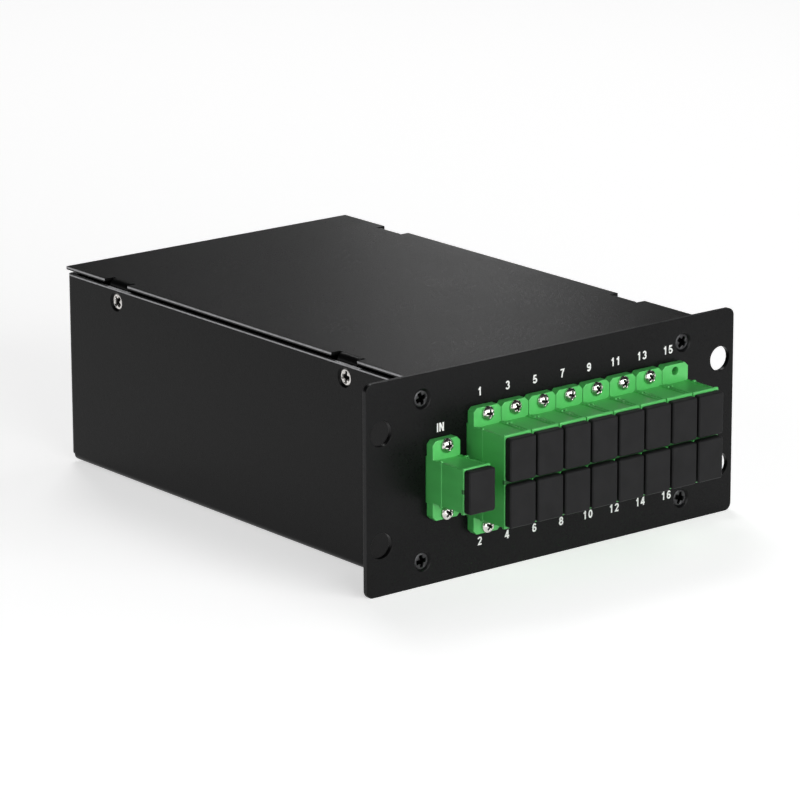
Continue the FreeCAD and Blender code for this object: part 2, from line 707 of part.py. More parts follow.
def fibre_loom():
    """The woven sleeve with the output fibres: round the rear, forward, and into the splitter."""
    rear_y, front_y = LOOM_BIG_Y, MODULE_FRONT_Y - GLAND_L
    small_x = -LOOM_BIG_R + LOOM_SMALL_R
    start = V(LOOM_BIG_R, LOOM_START_Y, LOOM_Z)
    left = V(-LOOM_BIG_R, rear_y, LOOM_Z)
    inner = V(small_x + LOOM_SMALL_R, front_y, LOOM_Z)
    lead = min(LOOM_START_L, GLAND_L)
    first = loom_section(start, X_AXIS).extrude(Y_AXIS * LOOM_START_L)
    big = loom_section(start + Y_AXIS * LOOM_START_L, X_AXIS).revolve(V(0, rear_y, 0), Z_AXIS, 180)
    back = loom_section(left, X_AXIS).extrude(-Y_AXIS * (rear_y - front_y + lead))
    turn_y = front_y - lead
    small = loom_section(V(-LOOM_BIG_R, turn_y, LOOM_Z), X_AXIS).revolve(V(small_x, turn_y, 0), Z_AXIS, 180)
    last = loom_section(inner, X_AXIS).extrude(-Y_AXIS * lead)
    return fused([first, big, back, small, last])


def routed_fibre(points):
    """A fibre along straight runs joined by the largest tangent arcs that they allow."""
    edges = []
    last = points[0]
    for before, corner, after in zip(points, points[1:], points[2:]):
        to_before = (before - corner).normalize()
        to_after = (after - corner).normalize()
        half_turn = (math.pi - to_before.getAngle(to_after)) / 2
        cut_back = BEND_SHARE * min(before.distanceToPoint(corner), after.distanceToPoint(corner))
        radius = cut_back / math.tan(half_turn)
        bisector = (to_before + to_after).normalize()
        centre = corner + bisector * math.hypot(radius, cut_back)
        arc_from, arc_to = corner + to_before * cut_back, corner + to_after * cut_back
        edges.append(Part.LineSegment(last, arc_from).toShape())
        edges.append(Part.Arc(arc_from, centre - bisector * radius, arc_to).toShape())
        last = arc_to
    edges.append(Part.LineSegment(last, points[-1]).toShape())
    section = Part.Face(Part.Wire(Part.makeCircle(FIBRE_D / 2, points[0], points[1] - points[0])))
    return Part.Wire(edges).makePipe(section)


def output_fibres():
    """The sixteen fibres from the plugs to the woven sleeve, in two layers of eight lanes."""
    fibres = []
    for index in range(COLUMNS):
        lane = (index - (COLUMNS - 1) / 2) * LANE_PITCH
        for up in (1, -1):
            x, z = column_x(index), up * PORT_PITCH / 2
            lane_z = LOOM_Z + up * LANE_PITCH / 2
            turn_y = LOOM_START_Y - LANE_RUN_L - LANE_MITRE * lane + up * LAYER_MITRE * LANE_PITCH / 2
            fibres.append(
                routed_fibre(
                    [
                        V(x, BOOT_END, z),
                        V(x, BOOT_END + TAIL_RUN_L, z),
                        V(LOOM_BIG_R + lane, turn_y, lane_z),
                        V(LOOM_BIG_R + lane, LOOM_START_Y, lane_z),
                    ]
                )
            )
    return Part.makeCompound(fibres)


def input_fibre():
    """The fibre from the single adapter's plug, round a turn, to the splitter's input."""
    turn_y = MODULE_REAR_Y + GLAND_L + INPUT_EXIT_L
    side_x = -2 * INPUT_TURN_R
    return routed_fibre(
        [
            V(0, MODULE_REAR_Y + GLAND_L, MODULE_Z),
            V(0, turn_y + INPUT_TURN_R, MODULE_Z),
            V(side_x, turn_y + INPUT_TURN_R, MODULE_Z),
            V(side_x, turn_y - INPUT_BACK_RUN_L, MODULE_Z),
            V(IN_X, BOOT_END + TAIL_RUN_L, 0),
            V(IN_X, BOOT_END, 0),
        ]
    )


# ---------------------------------------------------------------- the whole cassette


def port_rows():
    """X and Z of the sixteen numbered ports, the upper one of each column first."""
    rows = []
    for index in range(COLUMNS):
        rows += [(column_x(index), PORT_PITCH / 2), (column_x(index), -PORT_PITCH / 2)]
    return rows


def sub_parts():
    """Every node's name and its shape."""
    parts = {
        "front_panel": front_panel(),
        "base_tray": base_tray(),
        "top_cover": top_cover(),
        "panel_screws": countersunk_screws(panel_screw_points()),
        "cover_screws": countersunk_screws(side_screw_points()),
        "adapter_screws": adapter_screws(),
        "adapter_in": adapter(IN_X, [0], SINGLE_H, SINGLE_FLANGE_H, SINGLE_SCREW_PITCH),
        "insert_in": port_insert(IN_X, 0),
        "plug_in": plug(IN_X, 0),
        "dust_cap_in": dust_cap(IN_X, 0),
    }
    for index in range(COLUMNS):
        x = column_x(index)
        name = column_name(index)
        heights = [PORT_PITCH / 2, -PORT_PITCH / 2]
        parts["adapter_" + name] = adapter(x, heights, DUPLEX_H, DUPLEX_FLANGE_H, DUPLEX_SCREW_PITCH)
        parts["inserts_" + name] = Part.makeCompound([port_insert(x, z) for z in heights])
        parts["plugs_" + name] = Part.makeCompound([plug(x, z) for z in heights])
    for number, (x, z) in enumerate(port_rows(), start=1):
        parts["dust_cap_%02d" % number] = dust_cap(x, z)
    ports = [(IN_X, 0)] + port_rows()
    parts["alignment_sleeves"] = Part.makeCompound([alignment_sleeve(x, z) for x, z in ports])
    parts["plug_boots"] = Part.makeCompound([plug_boot(x, z) for x, z in ports])
    parts["splitter_module"] = splitter_module()
    parts["module_glands"] = module_glands()
    parts["module_clips"] = module_clips()
    parts["fibre_loom"] = fibre_loom()
    parts["output_fibres"] = output_fibres()
    parts["input_fibre"] = input_fibre()
    return parts


def main():
    """Writes one STEP file for every node."""
    os.makedirs("parts", exist_ok=True)
    for name, shape in sub_parts().items():
        shape.exportStep("parts/%s.step" % name)


main()
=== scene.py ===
import json
import logging
import math
from dataclasses import dataclass, field
from enum import Enum
from typing import Any, Union

import bmesh
import bpy
import numpy as np
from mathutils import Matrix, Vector

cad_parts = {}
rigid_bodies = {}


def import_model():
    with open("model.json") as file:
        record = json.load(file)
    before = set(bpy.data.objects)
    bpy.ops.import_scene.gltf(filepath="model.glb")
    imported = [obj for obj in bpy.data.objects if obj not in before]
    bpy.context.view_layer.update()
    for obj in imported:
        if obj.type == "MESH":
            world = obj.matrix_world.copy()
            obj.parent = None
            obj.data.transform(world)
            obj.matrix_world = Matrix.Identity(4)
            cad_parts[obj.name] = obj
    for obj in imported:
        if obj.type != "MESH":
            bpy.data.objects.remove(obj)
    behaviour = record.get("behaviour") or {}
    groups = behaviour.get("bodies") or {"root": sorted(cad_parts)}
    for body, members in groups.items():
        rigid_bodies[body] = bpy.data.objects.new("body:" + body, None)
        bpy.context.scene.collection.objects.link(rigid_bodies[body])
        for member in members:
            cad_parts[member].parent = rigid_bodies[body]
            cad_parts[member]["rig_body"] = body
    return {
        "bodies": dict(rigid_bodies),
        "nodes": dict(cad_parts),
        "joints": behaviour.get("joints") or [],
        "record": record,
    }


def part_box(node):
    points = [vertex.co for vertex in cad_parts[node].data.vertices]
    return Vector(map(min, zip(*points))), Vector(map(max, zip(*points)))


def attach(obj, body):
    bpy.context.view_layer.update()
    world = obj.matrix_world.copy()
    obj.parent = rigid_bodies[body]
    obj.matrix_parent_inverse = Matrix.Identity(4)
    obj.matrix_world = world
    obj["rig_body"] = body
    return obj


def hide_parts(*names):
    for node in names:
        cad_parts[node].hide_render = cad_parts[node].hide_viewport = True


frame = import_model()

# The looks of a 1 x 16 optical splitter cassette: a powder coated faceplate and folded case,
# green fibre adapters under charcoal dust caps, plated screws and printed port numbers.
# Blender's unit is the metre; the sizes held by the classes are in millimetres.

log = logging.getLogger("cassette")

MM = 0.001
Colour = tuple[float, float, float]
Number = Union["Val", float]


# ---------------------------------------------------------------- shader expressions


class Val:
    """A value socket with arithmetic: an expression on values adds its Math nodes."""

    def __init__(self, graph: "Graph", socket: bpy.types.NodeSocket) -> None:
        """Keeps the socket and the graph that it belongs to."""
        self.graph = graph
        self.socket = socket

    def __add__(self, other: Number) -> "Val":
        """Sum with a value or a number."""
        return self.graph.math("ADD", self, other)

    def __sub__(self, other: Number) -> "Val":
        """Difference with a value or a number."""
        return self.graph.math("SUBTRACT", self, other)

    def __rsub__(self, other: Number) -> "Val":
        """A number less this value."""
        return self.graph.math("SUBTRACT", other, self)

    def __mul__(self, other: Number) -> "Val":
        """Product with a value or a number."""
        return self.graph.math("MULTIPLY", self, other)

    def __gt__(self, other: Number) -> "Val":
        """1 where this value is the greater, else 0."""
        return self.graph.math("GREATER_THAN", self, other)

    def __abs__(self) -> "Val":
        """Size without sign."""
        return self.graph.math("ABSOLUTE", self)

    def sine(self) -> "Val":
        """Sine of this value in radians."""
        return self.graph.math("SINE", self)

    def most(self, other: Number) -> "Val":
        """The greater of the two."""
        return self.graph.math("MAXIMUM", self, other)

    def between(self, low: float, high: float) -> "Val":
        """0 up to low, 1 from high on, and an S-shaped step between.

        Args:
            low: where the step starts.
            high: where it ends.

        Returns:
            The step's value.
        """
        node = self.graph.node(
            "ShaderNodeMapRange",
            {"interpolation_type": "SMOOTHSTEP"},
            {"Value": self, "From Min": low, "From Max": high},
        )
        return Val(self.graph, node.outputs[0])

    __radd__ = __add__
    __rmul__ = __mul__


class Graph:
    """The node tree of one material or world, and the ways to add to it."""

    def __init__(self, owner: bpy.types.Material | bpy.types.World) -> None:
        """Starts with the owner's node tree, emptied."""
        owner.use_nodes = True
        self.owner = owner
        self.tree = owner.node_tree
        self.tree.nodes.clear()

    def node(self, kind: str, settings: dict[str, Any], sockets: dict[Any, Any]) -> bpy.types.Node:
        """Adds one node.

        Args:
            kind: the node's type name.
            settings: its properties, set first.
            sockets: its inputs by name or index, each a number, colour, value or output socket.

        Returns:
            The new node.
        """
        node = self.tree.nodes.new(kind)
        for key, value in settings.items():
            setattr(node, key, value)
        for key, value in sockets.items():
            source = value.socket if isinstance(value, Val) else value
            if isinstance(source, bpy.types.NodeSocket):
                self.tree.links.new(source, node.inputs[key])
            else:
                node.inputs[key].default_value = source
        return node

    def math(self, operation: str, *values: Number) -> Val:
        """One Math node on values and numbers."""
        node = self.node("ShaderNodeMath", {"operation": operation}, dict(enumerate(values)))
        return Val(self, node.outputs[0])

    def place(self) -> bpy.types.NodeSocket:
        """Position on the object, in metres."""
        return self.node("ShaderNodeTexCoord", {}, {}).outputs["Object"]

    def axes(self) -> tuple[Val, Val, Val]:
        """The position's x, y and z in millimetres."""
        split = self.node("ShaderNodeSeparateXYZ", {}, {0: self.place()})
        x, y, z = (Val(self, out) * (1 / MM) for out in split.outputs)
        return x, y, z

    def noise(self, grain_mm: float, detail: float = 2.0, stretch: Colour = (1, 1, 1)) -> Val:
        """Soft noise, about 0.5 on average.

        Args:
            grain_mm: size of one grain.
            detail: octaves of finer noise on top.
            stretch: how much longer the grain is along each axis.

        Returns:
            The noise value.
        """
        scale = tuple(1 / (grain_mm * MM * s) for s in stretch)
        point = self.node("ShaderNodeVectorMath", {"operation": "MULTIPLY"}, {0: self.place(), 1: scale})
        made = self.node("ShaderNodeTexNoise", {}, {"Vector": point.outputs[0], "Scale": 1.0, "Detail": detail})
        return Val(self, made.outputs[0])

    def attribute(self, name: str) -> Val:
        """A number that the mesh holds at each point."""
        return Val(self, self.node("ShaderNodeAttribute", {"attribute_name": name}, {}).outputs["Fac"])

    def cells(self, size_mm: float) -> Val:
        """Distance to the nearest of scattered points, 0 to about 1."""
        made = self.node("ShaderNodeTexVoronoi", {}, {"Vector": self.place(), "Scale": 1 / (size_mm * MM)})
        return Val(self, made.outputs[0])

    def blend(self, share: Number, first: Any, second: Any) -> bpy.types.NodeSocket:
        """A colour between two.

        Args:
            share: 0 for the first colour, 1 for the second.
            first: a colour, or a colour socket.
            second: a colour, or a colour socket.

        Returns:
            The mixed colour's socket.
        """
        first, second = (c if isinstance(c, bpy.types.NodeSocket) else (*c, 1.0) for c in (first, second))
        sockets = {0: share, 6: first, 7: second}
        return self.node("ShaderNodeMix", {"data_type": "RGBA", "clamp_factor": True}, sockets).outputs[2]

    def bump(self, height: Val, depth_mm: float, strength: float = 1.0) -> bpy.types.NodeSocket:
        """A normal from a height field of 0 to 1 that is depth_mm deep."""
        sockets = {"Height": height, "Distance": depth_mm * MM, "Strength": strength}
        return self.node("ShaderNodeBump", {}, sockets).outputs[0]

    def surface(self, sockets: dict[str, Any]) -> bpy.types.Material:
        """Closes the graph with the standard surface shader.

        Args:
            sockets: the shader's inputs by name.

        Returns:
            The finished material.
        """
        shader = self.node("ShaderNodeBsdfPrincipled", {}, sockets)
        self.node("ShaderNodeOutputMaterial", {}, {0: shader.outputs[0]})
        return self.owner


# ---------------------------------------------------------------- finishes


def tinted(colour: Colour, factor: float) -> Colour:
    """The colour made lighter or darker by a factor."""
    return tuple(min(1.0, channel * factor) for channel in colour)


COVER_SIDE, COVER_FRONT, COVER_REAR = 50.93, 0.36, 155.64   # where the cover's cut edges begin, in mm
COVER_BARE_SHEEN_FROM = 28.55     # the cover's cut edge shows light metal above this height, a band sized to stand in for the edge's highlight
WALL_BARE_SHEEN_FROM = 26.6       # the walls show light metal above this height, a band that stands in for the highlight on their rounded top edge
PANEL_SIDE, PANEL_TOP = 64.93, 29.23    # where the faceplate's rim begins
CAP_SEAT = -15.9            # the adapters' front edge, under the caps
RECESS_SHADE = 0.03         # how dark the painted shade down a screw's recess is against its plate
GAP_SHADOW_TINT = 0.25           # how dark the painted shadow across the web between two ports is against the moulding


class SheetEdge(Enum):
    """Which cut edges of a sheet show metal through thin paint, partly wear and partly a painted highlight."""

    PANEL = "rim of the faceplate"
    COVER = "side, front and rear edges of the cover"
    TRAY = "upper edges of the walls"


@dataclass(frozen=True)
class PowderCoat:
    """Near-black powder coat with a fine grain; its cut edges show light metal through thin paint, partly wear and
    partly a painted highlight where the rounded edge catches the light.
    """

    colour: Colour
    edge: SheetEdge
    grain_mm: float = 0.33
    peel_mm: float = 1.7
    cut_colour: Colour = (0.36, 0.36, 0.37)
    gloss: float = 0.30
    specular: float = 0.12
    bare: float = 1.0

    def cut_edges(self, graph: Graph) -> Val:
        """1 on the cut edges, 0 elsewhere.

        Args:
            graph: the material's graph.

        Returns:
            The mask.
        """
        x, y, z = graph.axes()
        if self.edge is SheetEdge.COVER:
            rim = (abs(x) > COVER_SIDE).most((COVER_FRONT - y > 0.0).most(y > COVER_REAR))
            return rim * (z > COVER_BARE_SHEEN_FROM)
        if self.edge is SheetEdge.TRAY:
            return z > WALL_BARE_SHEEN_FROM
        return (abs(x) > PANEL_SIDE).most(abs(z) > PANEL_TOP)

    def build(self, name: str) -> bpy.types.Material:
        """Makes the material: grain and orange peel in colour, gloss and bump, and metal on the cut edges that is
        partly wear and partly a painted highlight.
        """
        graph = Graph(bpy.data.materials.new(name))
        grain = graph.noise(self.grain_mm, 3.0)
        peel = graph.noise(self.peel_mm, 1.0)
        broad = graph.noise(24.0, 2.0)
        # painted highlight and wear: the cut edges turn to light metal, in a band placed where the rounded edges catch
        # the light
        cut = self.cut_edges(graph) * (graph.noise(1.2, 3.0).between(0.2, 0.6) * 0.25 + 0.75) * self.bare
        shade = grain * 0.6 + broad * 0.4
        coat = graph.blend(shade.between(0.3, 0.7), tinted(self.colour, 0.72), tinted(self.colour, 1.3))
        height = grain * 0.75 + peel * 0.25
        return graph.surface(
            {
                "Base Color": graph.blend(cut, coat, self.cut_colour),
                "Metallic": cut,
                "Roughness": grain * 0.20 + broad * 0.05 + (self.gloss - 0.12) + cut * 0.12,
                "Specular IOR Level": self.specular,
                "Normal": graph.bump(height, 0.06, 0.6),
            }
        )


@dataclass(frozen=True)
class Moulding:
    """Moulded plastic: a soft gloss, faint flow marks and a fine eroded texture.

    A painted shadow can be laid across the web between two ports at the adapter's front edge, standing in for the shade
    in the gap between the two rows of caps; its field gives half its height in millimetres, and 0 leaves it out.
    """

    colour: Colour
    roughness: float = 0.36
    texture_mm: float = 0.16
    depth_mm: float = 0.004
    variation: float = 0.10
    specular: float = 0.5
    scatter: float = 0.0
    seam: float = 0.0

    def build(self, name: str) -> bpy.types.Material:
        """Makes the material: flow marks in colour, texture in gloss and bump, and where asked a painted shadow across
        the web between the ports.
        """
        graph = Graph(bpy.data.materials.new(name))
        flow = graph.noise(5.0, 2.0, (1.0, 3.0, 1.0))
        fine = graph.noise(self.texture_mm, 2.0)
        low, high = tinted(self.colour, 1 - self.variation), tinted(self.colour, 1 + self.variation)
        shade = graph.blend((flow * 0.7 + fine * 0.3).between(0.3, 0.7), low, high)
        # painted shade: a dark band across the web between the two ports, where the gap between the caps lies in shadow
        if self.seam:
            _, y, z = graph.axes()
            gap_shade = (self.seam - abs(z) > 0.0) * (CAP_SEAT - y > 0.0)
            shade = graph.blend(gap_shade, shade, tinted(self.colour, GAP_SHADOW_TINT))
        return graph.surface(
            {
                "Base Color": shade,
                "Roughness": fine * 0.14 + flow * 0.06 + (self.roughness - 0.10),
                "Specular IOR Level": self.specular,
                "Subsurface Weight": self.scatter,
                "Subsurface Radius": (0.0008, 0.0012, 0.0008),
                "Normal": graph.bump(fine * 0.8 + flow * 0.2, self.depth_mm, 0.6),
            }
        )


@dataclass(frozen=True)
class PlatedSteel:
    """Plated steel: metal with drawn marks, a little dulled in places, with painted shade down in its recess."""

    colour: Colour
    roughness: float = 0.22
    dull: float = 0.15

    def build(self, name: str) -> bpy.types.Material:
        """Makes the material: fine marks in gloss and bump, cloudy dulling in colour, painted shade down in the recess.
        """
        graph = Graph(bpy.data.materials.new(name))
        marks = graph.noise(0.09, 2.0)
        cloud = graph.noise(1.1, 2.0).between(0.35, 0.7)
        plate = graph.blend(cloud, self.colour, tinted(self.colour, 1 - self.dull))
        # painted shade: the colour darkens with depth in the cross recess
        hollow = graph.attribute("hollow").between(0.05, 0.45)
        return graph.surface(
            {
                "Base Color": graph.blend(hollow, plate, tinted(self.colour, RECESS_SHADE)),
                "Metallic": 1.0,
                "Roughness": marks * 0.12 + cloud * 0.08 + hollow * 0.25 + (self.roughness - 0.08),
                "Normal": graph.bump(marks, 0.004, 0.5),
            }
        )


@dataclass(frozen=True)
class Ceramic:
    """Polished white ceramic with a trace of lapping marks."""

    colour: Colour

    def build(self, name: str) -> bpy.types.Material:
        """Makes the material: lapping marks in gloss, a warm cloud in colour."""
        graph = Graph(bpy.data.materials.new(name))
        lap = graph.noise(0.05, 1.0, (1.0, 6.0, 1.0))
        warm = graph.noise(2.0, 1.0)
        return graph.surface(
            {
                "Base Color": graph.blend(warm, self.colour, tinted(self.colour, 0.94)),
                "Roughness": lap * 0.1 + 0.08,
                "Coat Weight": 0.3,
                "Normal": graph.bump(lap, 0.001, 0.4),
            }
        )


@dataclass(frozen=True)
class Rubber:
    """Moulded rubber: dull, with a dusty bloom and a pebbled skin."""

    colour: Colour

    def build(self, name: str) -> bpy.types.Material:
        """Makes the material: bloom in colour, pebbles in gloss and bump."""
        graph = Graph(bpy.data.materials.new(name))
        pebble = graph.cells(0.22)
        bloom = graph.noise(2.6, 3.0).between(0.4, 0.8)
        return graph.surface(
            {
                "Base Color": graph.blend(bloom, self.colour, tinted(self.colour, 1.35)),
                "Roughness": pebble * 0.12 + bloom * 0.1 + 0.58,
                "Normal": graph.bump(pebble, 0.012, 0.5),
            }
        )


@dataclass(frozen=True)
class BrushedCase:
    """A metal case brushed along its length."""

    colour: Colour

    def build(self, name: str) -> bpy.types.Material:
        """Makes the material: long brush lines in colour, gloss and bump."""
        graph = Graph(bpy.data.materials.new(name))
        lines = graph.noise(0.06, 3.0, (1.0, 60.0, 1.0))
        stain = graph.noise(7.0, 2.0)
        return graph.surface(
            {
                "Base Color": graph.blend(lines, tinted(self.colour, 0.86), tinted(self.colour, 1.08)),
                "Metallic": 1.0,
                "Roughness": lines * 0.18 + stain * 0.08 + 0.24,
                "Normal": graph.bump(lines, 0.004, 0.5),
            }
        )


@dataclass(frozen=True)
class Braid:
    """A woven sleeve: two sets of strands that cross at an angle."""

    colour: Colour
    strand_mm: float = 0.55

    def build(self, name: str) -> bpy.types.Material:
        """Makes the material: crossing strands as two sine ridges along x + y + z and x + y - z."""
        graph = Graph(bpy.data.materials.new(name))
        x, y, z = graph.axes()
        turns = math.tau / self.strand_mm
        over = ((x + y + z) * turns).sine()
        under = ((x + y - z) * turns).sine()
        ridge = over.most(under) * 0.5 + 0.5
        fuzz = graph.noise(0.12, 2.0)
        return graph.surface(
            {
                "Base Color": graph.blend(ridge * 0.7 + fuzz * 0.3, tinted(self.colour, 0.5), tinted(self.colour, 1.6)),
                "Roughness": fuzz * 0.2 + 0.6,
                "Sheen Weight": 0.15,
                "Normal": graph.bump(ridge + fuzz * 0.3, 0.06, 0.7),
            }
        )


@dataclass(frozen=True)
class Ink:
    """Screen-printed ink: nearly flat, a little grainy, thin at its edges."""

    colour: Colour

    def build(self, name: str) -> bpy.types.Material:
        """Makes the material: grain in colour, gloss and bump."""
        graph = Graph(bpy.data.materials.new(name))
        grain = graph.noise(0.12, 2.0)
        return graph.surface(
            {
                "Base Color": graph.blend(grain.between(0.3, 0.6), tinted(self.colour, 0.86), self.colour),
                "Roughness": grain * 0.2 + 0.45,
                "Normal": graph.bump(grain, 0.004, 0.5),
            }
        )


@dataclass(frozen=True)
class StudioFloor:
    """A matt pale floor that is white to the camera and in reflections, and keeps shadows."""

    paper: float = 0.78
    lift: float = 0.58

    def build(self, name: str) -> bpy.types.Material:
        """Makes the material: paper for every ray, plus an even white for camera and mirror rays."""
        graph = Graph(bpy.data.materials.new(name))
        path = graph.node("ShaderNodeLightPath", {}, {})
        seen = Val(graph, path.outputs["Is Camera Ray"])
        for ray in ("Is Glossy Ray", "Is Transmission Ray"):
            seen = seen.most(Val(graph, path.outputs[ray]))
        fibre = graph.noise(1.5, 3.0)
        colour = graph.blend(fibre, (self.paper,) * 3, (self.paper * 1.02,) * 3)
        paper = graph.node("ShaderNodeBsdfDiffuse", {}, {"Color": colour})
        glow = graph.node("ShaderNodeEmission", {}, {"Color": (1, 1, 1, 1), "Strength": self.lift})
        both = graph.node("ShaderNodeAddShader", {}, {0: paper.outputs[0], 1: glow.outputs[0]})
        mixed = graph.node("ShaderNodeMixShader", {}, {0: seen, 1: paper.outputs[0], 2: both.outputs[0]})
        graph.node("ShaderNodeOutputMaterial", {}, {0: mixed.outputs[0]})
        return graph.owner


# ---------------------------------------------------------------- meshes


def closed_skin(rings: np.ndarray) -> tuple[np.ndarray, list[list[int]]]:
    """A closed surface over a grid of rings, whose first and last rows are single points.

    The surface is P(i, j) = rings[i, j]: i goes along the profile, j once round it.  The first
    row's point closes one end with a fan of triangles, and the last row's the other.

    Args:
        rings: an array of rows x columns x 3; rows run from the top pole to the bottom pole.

    Returns:
        The vertices, and the faces as lists of indices.
    """
    rows, columns = rings.shape[:2]
    vertices = np.concatenate([rings[:1, 0], rings[1:-1].reshape(-1, 3), rings[-1:, 0]])
    here = np.arange(columns)
    after = (here + 1) % columns
    level = 1 + columns * np.arange(rows - 3)[:, None]
    quads = np.stack([level + here, level + columns + here, level + columns + after, level + after], -1)
    last = len(vertices) - 1
    bottom = 1 + columns * (rows - 3)
    top_fan = np.stack([np.zeros_like(here), 1 + here, 1 + after], -1)
    end_fan = np.stack([np.full_like(here, last), bottom + after, bottom + here], -1)
    return vertices, top_fan.tolist() + quads.reshape(-1, 4).tolist() + end_fan.tolist()


def repeated(vertices: np.ndarray, faces: list[list[int]], hollow: np.ndarray, turns: np.ndarray,
             shifts: np.ndarray, name: str) -> bpy.types.Mesh:
    """One mesh with a copy of a shape at each place: p' = turn p + shift.

    Args:
        vertices: the shape's points, in millimetres.
        faces: its faces.
        hollow: how deep each point lies in a recess, 0 to 1, kept as an attribute.
        turns: one 3 x 3 matrix for each copy.
        shifts: one point for each copy, in millimetres.
        name: the mesh's name.

    Returns:
        The mesh, in metres and shaded smooth.
    """
    points = np.einsum("nij,vj->nvi", turns, vertices) + shifts[:, None]
    steps = (np.arange(len(shifts)) * len(vertices)).tolist()
    copies = [[index + step for index in face] for step in steps for face in faces]
    mesh = bpy.data.meshes.new(name)
    mesh.from_pydata((points.reshape(-1, 3) * MM).tolist(), [], copies)
    mesh.attributes.new("hollow", "FLOAT", "POINT").data.foreach_set("value", np.tile(hollow, len(shifts)))
    mesh.shade_smooth()
    return mesh


def facing(direction: Vector) -> np.ndarray:
    """The matrix that turns a shape built along +Z to face a direction."""
    return np.array(direction.to_track_quat("Z", "Y").to_matrix())


# ---------------------------------------------------------------- the workshop


class Workshop:
    """The loaded frame with its finishes, and the ways to dress or replace its nodes."""

    def __init__(self, loaded: dict[str, Any]) -> None:
        """Reads each node's slot and each slot's colour from the record."""
        self.nodes: dict[str, bpy.types.Object] = loaded["nodes"]
        record = loaded["record"]
        self.slots = {part["node"]: part["material_slot"] for part in record["subparts"]}
        self.colours = {row["slot"]: tuple(row["base_color"]) for row in record["materials"]}
        self.made: dict[str, bpy.types.Material] = {}

    def finish(self, slot: str) -> bpy.types.Material:
        """The material of a record slot, made when it is first asked for.

        Args:
            slot: the slot's name.

        Returns:
            The material.
        """
        if slot not in self.made:
            colour = self.colours[slot]
            finishes = {
                "black_screw": PlatedSteel(colour, 0.34, 0.3),
                "nickel_screw": PlatedSteel(tinted(colour, 1.2), 0.2, 0.12),
                # the green mouldings carry the painted shadow between the two ports
                "green_moulding": Moulding((0.085, 0.51, 0.115), 0.36, variation=0.07, specular=0.6, seam=0.6),
                "insert_moulding": Moulding(colour, 0.42, scatter=0.1),
                "plug_moulding": Moulding(colour, 0.38),
                "cap_moulding": Moulding((0.0105, 0.0105, 0.011), 0.60, 0.2, 0.012, 0.2, 0.15),
                "zirconia": Ceramic(colour),
                "boot_rubber": Rubber(colour),
                "module_case": BrushedCase(colour),
                "gland_rubber": Rubber(colour),
                "clip_nylon": Moulding(colour, 0.45, scatter=0.15),
                "loom_braid": Braid(colour),
                "fibre_jacket": Moulding(colour, 0.4, variation=0.05),
            }
            self.made[slot] = finishes[slot].build(slot)
        return self.made[slot]

    def coat(self, edge: SheetEdge) -> bpy.types.Material:
        """The powder coat for one sheet piece."""
        key = "powder_coat." + edge.name.lower()
        if key not in self.made:
            # the faceplate's rim turns only faintly to metal: a faint painted highlight along the rim
            bare = 0.06 if edge is SheetEdge.PANEL else 1.0
            self.made[key] = PowderCoat((0.0042, 0.0042, 0.0044), edge, bare=bare).build(key)
        return self.made[key]

    def dress(self, *names: str) -> None:
        """Gives CAD nodes the material of their slot."""
        for name in names:
            material = self.finish(self.slots[name])
            for slot in self.nodes[name].material_slots:
                slot.material = material
            log.info("dressed %s in %s", name, material.name)

    def add(self, name: str, mesh: bpy.types.Mesh, material: bpy.types.Material, body: str,
            slot: str, *stands_for: str) -> bpy.types.Object:
        """Puts a new piece into the scene.

        Args:
            name: the piece's name.
            mesh: its mesh, already in place.
            material: its material.
            body: the CAD body that it rides on.
            slot: the record's slot; not used.
            *stands_for: the CAD nodes that it replaces.

        Returns:
            The piece.
        """
        mesh.materials.clear()
        mesh.materials.append(material)
        piece = bpy.data.objects.new(name, mesh)
        bpy.context.scene.collection.objects.link(piece)
        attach(piece, body)
        if stands_for:
            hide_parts(*stands_for)
        log.info("made %s on %s: %d faces", name, body, len(mesh.polygons))
        return piece

    def rounded(self, node: str, edge_mm: float, material: bpy.types.Material,
                segments: int = 2) -> bpy.types.Object:
        """Replaces a node by a copy with rounded edges.

        Args:
            node: the CAD node.
            edge_mm: how far a round reaches from its edge.
            material: the copy's material.
            segments: faces across each round.

        Returns:
            The copy, with a live bevel.
        """
        source = self.nodes[node]
        mesh = bpy.data.meshes.new(node + ".rounded")
        body = bmesh.new()
        body.from_mesh(source.data)
        bmesh.ops.remove_doubles(body, verts=body.verts, dist=2e-6)
        bmesh.ops.dissolve_limit(body, angle_limit=math.radians(0.4), verts=body.verts, edges=body.edges)
        bmesh.ops.connect_verts_concave(body, faces=body.faces)
        body.to_mesh(mesh)
        body.free()
        mesh.shade_smooth()
        piece = self.add(node + ".rounded", mesh, material, source["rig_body"], self.slots[node], node)
        bevel = piece.modifiers.new("edges", "BEVEL")
        bevel.width = edge_mm * MM
        bevel.segments = segments
        bevel.limit_method = "ANGLE"
        bevel.angle_limit = math.radians(32)
        bevel.use_clamp_overlap = False
        bevel.loop_slide = False
        bevel.miter_outer = "MITER_SHARP"
        shading = piece.modifiers.new("flat faces", "WEIGHTED_NORMAL")
        shading.mode = "FACE_AREA"
        shading.weight = 100
        return piece


# ---------------------------------------------------------------- screws


